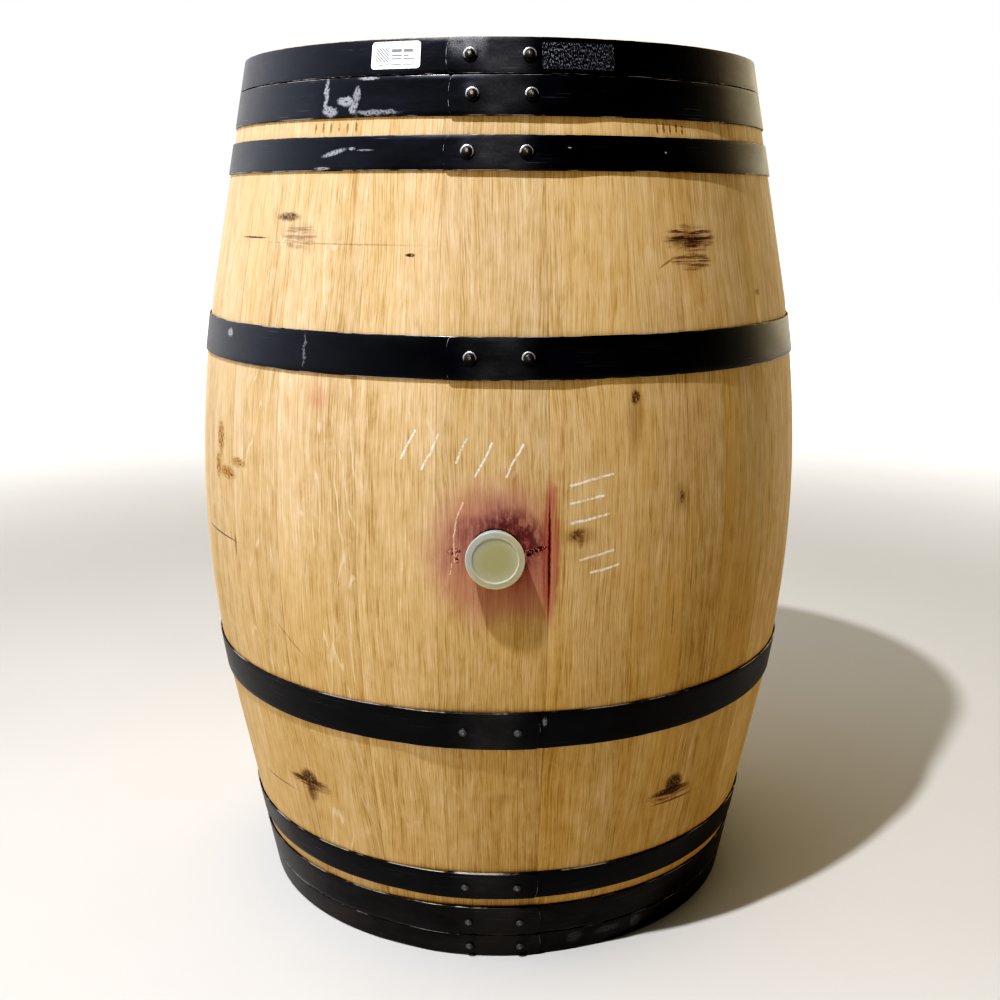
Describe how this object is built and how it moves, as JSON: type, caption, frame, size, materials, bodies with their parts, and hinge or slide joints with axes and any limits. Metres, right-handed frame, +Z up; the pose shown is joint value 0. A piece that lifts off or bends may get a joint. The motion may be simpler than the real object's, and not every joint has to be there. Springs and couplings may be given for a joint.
{
  "type": "wine barrel",
  "caption": "Oak wine barrel standing on one head: bulged staves under riveted black steel hoops, boarded heads, and a tapered silicone bung in the bilge.",
  "frame": {"origin": "centre of the ring that the bottom chime stands on, on the barrel's axis", "axes": "+Z up along the barrel's axis, from the bottom head to the top head; the bung points along -Y"},
  "size_m": [0.6998, 0.718, 0.95],
  "materials": {
    "stave_oak": "planed and sanded pale oak, unvarnished",
    "head_oak": "planed pale oak, unvarnished",
    "dowel_oak": "turned oak",
    "rush": "dried rush leaf",
    "hoop_paint": "black paint on steel strip, semi-gloss, worn at edges",
    "rivet_steel": "hammered steel, black paint worn off",
    "bung_silicone": "milky translucent silicone, smooth",
    "sticker": "white vinyl with a plain printed pattern"
  },
  "bodies": {
    "barrel": {"bottom_bilge_hoop": "hoop_paint", "bottom_collar_hoop": "hoop_paint", "bottom_head_board_1": "head_oak", "bottom_head_board_2": "head_oak", "bottom_head_board_3": "head_oak", "bottom_head_board_4": "head_oak", "bottom_head_board_5": "head_oak", "bottom_head_board_6": "head_oak", "bottom_head_board_7": "head_oak", "bottom_head_dowels": "dowel_oak", "bottom_head_hoop": "hoop_paint", "bottom_head_rush": "rush", "bottom_quarter_hoop": "hoop_paint", "bottom_rivets": "rivet_steel", "bung_stave": "stave_oak", "hoop_sticker": "sticker", "stave_02": "stave_oak", "stave_03": "stave_oak", "stave_04": "stave_oak", "stave_05": "stave_oak", "stave_06": "stave_oak", "stave_07": "stave_oak", "stave_08": "stave_oak", "stave_09": "stave_oak", "stave_10": "stave_oak", "stave_11": "stave_oak", "stave_12": "stave_oak", "stave_13": "stave_oak", "stave_14": "stave_oak", "stave_15": "stave_oak", "stave_16": "stave_oak", "stave_17": "stave_oak", "stave_18": "stave_oak", "stave_19": "stave_oak", "stave_20": "stave_oak", "stave_21": "stave_oak", "stave_22": "stave_oak", "stave_23": "stave_oak", "stave_24": "stave_oak", "stave_25": "stave_oak", "stave_26": "stave_oak", "stave_27": "stave_oak", "top_bilge_hoop": "hoop_paint", "top_collar_hoop": "hoop_paint", "top_head_board_1": "head_oak", "top_head_board_2": "head_oak", "top_head_board_3": "head_oak", "top_head_board_4": "head_oak", "top_head_board_5": "head_oak", "top_head_board_6": "head_oak", "top_head_board_7": "head_oak", "top_head_dowels": "dowel_oak", "top_head_hoop": "hoop_paint", "top_head_rush": "rush", "top_quarter_hoop": "hoop_paint", "top_rivets": "rivet_steel"},
    "bung": {"bung": "bung_silicone"}
  },
  "joints": [
    {"name": "bung_pull", "type": "slide", "parent": "barrel", "child": "bung", "axis": [0, -1, 0], "range_m": [0, 0.08]}
  ]
}
